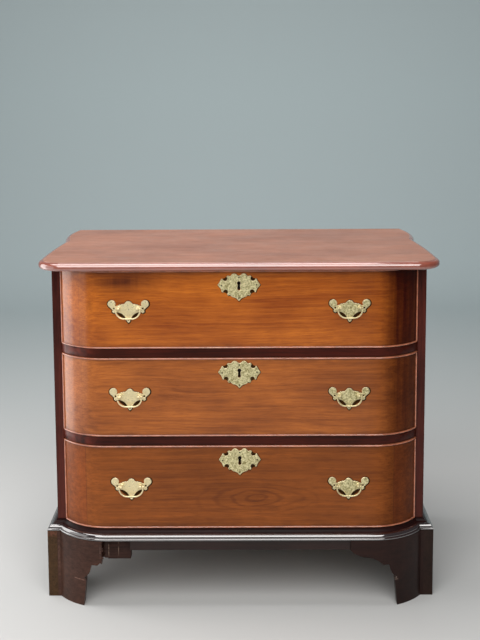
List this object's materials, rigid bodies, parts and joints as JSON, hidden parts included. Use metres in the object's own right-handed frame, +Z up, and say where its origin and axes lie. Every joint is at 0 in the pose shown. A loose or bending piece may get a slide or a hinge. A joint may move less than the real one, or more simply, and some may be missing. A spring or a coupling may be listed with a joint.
{
  "type": "chest of drawers",
  "caption": "Low chest of long drawers whose flat fronts turn back in rounded ends, with cockbeads, pierced brasses, swinging bails and scrolled bracket feet.",
  "frame": {"origin": "on the floor, under the middle of the overall box", "axes": "+X to the right for someone who faces the drawers, +Y towards the back, +Z up"},
  "size_m": [0.964, 0.553, 0.8494],
  "materials": {
    "case_wood": "polished",
    "front_wood": "polished",
    "bead_wood": "polished",
    "drawer_lining": "bare",
    "rough_wood": "bare",
    "brass": "satin",
    "iron": "matte",
    "steel": "satin"
  },
  "bodies": {
    "case": {"top_board": "case_wood", "side_left": "case_wood", "side_right": "case_wood", "bottom_board": "rough_wood", "back_boards": "rough_wood", "upper_rail": "case_wood", "lower_rail": "case_wood", "runners": "drawer_lining", "drawer_stops": "drawer_lining", "base_moulding_front": "case_wood", "base_moulding_left": "case_wood", "base_moulding_right": "case_wood", "apron": "case_wood", "front_foot_left": "case_wood", "front_foot_right": "case_wood", "side_foot_front_left": "case_wood", "side_foot_front_right": "case_wood", "side_foot_rear_left": "case_wood", "side_foot_rear_right": "case_wood", "rear_brackets": "rough_wood", "foot_blocks": "rough_wood"},
    "upper_drawer": {"upper_drawer_front": "front_wood", "upper_cockbead": "bead_wood", "upper_drawer_side_left": "drawer_lining", "upper_drawer_side_right": "drawer_lining", "upper_drawer_back": "drawer_lining", "upper_drawer_bottom": "drawer_lining", "upper_lock": "iron", "upper_escutcheon": "brass", "upper_pull_plates": "brass", "upper_pull_posts": "brass"},
    "upper_bolt": {"upper_lock_bolt": "steel"},
    "upper_bail_left": {"upper_bail_left": "brass"},
    "upper_bail_right": {"upper_bail_right": "brass"},
    "middle_drawer": {"middle_drawer_front": "front_wood", "middle_cockbead": "bead_wood", "middle_drawer_side_left": "drawer_lining", "middle_drawer_side_right": "drawer_lining", "middle_drawer_back": "drawer_lining", "middle_drawer_bottom": "drawer_lining", "middle_lock": "iron", "middle_escutcheon": "brass", "middle_pull_plates": "brass", "middle_pull_posts": "brass"},
    "middle_bolt": {"middle_lock_bolt": "steel"},
    "middle_bail_left": {"middle_bail_left": "brass"},
    "middle_bail_right": {"middle_bail_right": "brass"},
    "lower_drawer": {"lower_drawer_front": "front_wood", "lower_cockbead": "bead_wood", "lower_drawer_side_left": "drawer_lining", "lower_drawer_side_right": "drawer_lining", "lower_drawer_back": "drawer_lining", "lower_drawer_bottom": "drawer_lining", "lower_lock": "iron", "lower_escutcheon": "brass", "lower_pull_plates": "brass", "lower_pull_posts": "brass"},
    "lower_bolt": {"lower_lock_bolt": "steel"},
    "lower_bail_left": {"lower_bail_left": "brass"},
    "lower_bail_right": {"lower_bail_right": "brass"}
  },
  "joints": [
    {"name": "upper_drawer_slide", "type": "slide", "parent": "case", "child": "upper_drawer", "axis": [0, -1, 0], "range_m": [0, 0.33]},
    {"name": "upper_bolt_slide", "type": "slide", "parent": "upper_drawer", "child": "upper_bolt", "axis": [0, 0, 1], "range_m": [0, 0.009]},
    {"name": "upper_bail_left_swing", "type": "hinge", "parent": "upper_drawer", "child": "upper_bail_left", "pos_m": [-0.263, -0.2655, 0.7392], "axis": [-1, 0, 0], "range_deg": [-15, 195]},
    {"name": "upper_bail_right_swing", "type": "hinge", "parent": "upper_drawer", "child": "upper_bail_right", "pos_m": [0.263, -0.2655, 0.7392], "axis": [-1, 0, 0], "range_deg": [-15, 195]},
    {"name": "middle_drawer_slide", "type": "slide", "parent": "case", "child": "middle_drawer", "axis": [0, -1, 0], "range_m": [0, 0.33]},
    {"name": "middle_bolt_slide", "type": "slide", "parent": "middle_drawer", "child": "middle_bolt", "axis": [0, 0, 1], "range_m": [0, 0.009]},
    {"name": "middle_bail_left_swing", "type": "hinge", "parent": "middle_drawer", "child": "middle_bail_left", "pos_m": [-0.263, -0.2655, 0.52475], "axis": [-1, 0, 0], "range_deg": [-15, 195]},
    {"name": "middle_bail_right_swing", "type": "hinge", "parent": "middle_drawer", "child": "middle_bail_right", "pos_m": [0.263, -0.2655, 0.52475], "axis": [-1, 0, 0], "range_deg": [-15, 195]},
    {"name": "lower_drawer_slide", "type": "slide", "parent": "case", "child": "lower_drawer", "axis": [0, -1, 0], "range_m": [0, 0.33]},
    {"name": "lower_bolt_slide", "type": "slide", "parent": "lower_drawer", "child": "lower_bolt", "axis": [0, 0, 1], "range_m": [0, 0.009]},
    {"name": "lower_bail_left_swing", "type": "hinge", "parent": "lower_drawer", "child": "lower_bail_left", "pos_m": [-0.263, -0.2655, 0.30115], "axis": [-1, 0, 0], "range_deg": [-15, 195]},
    {"name": "lower_bail_right_swing", "type": "hinge", "parent": "lower_drawer", "child": "lower_bail_right", "pos_m": [0.263, -0.2655, 0.30115], "axis": [-1, 0, 0], "range_deg": [-15, 195]}
  ]
}
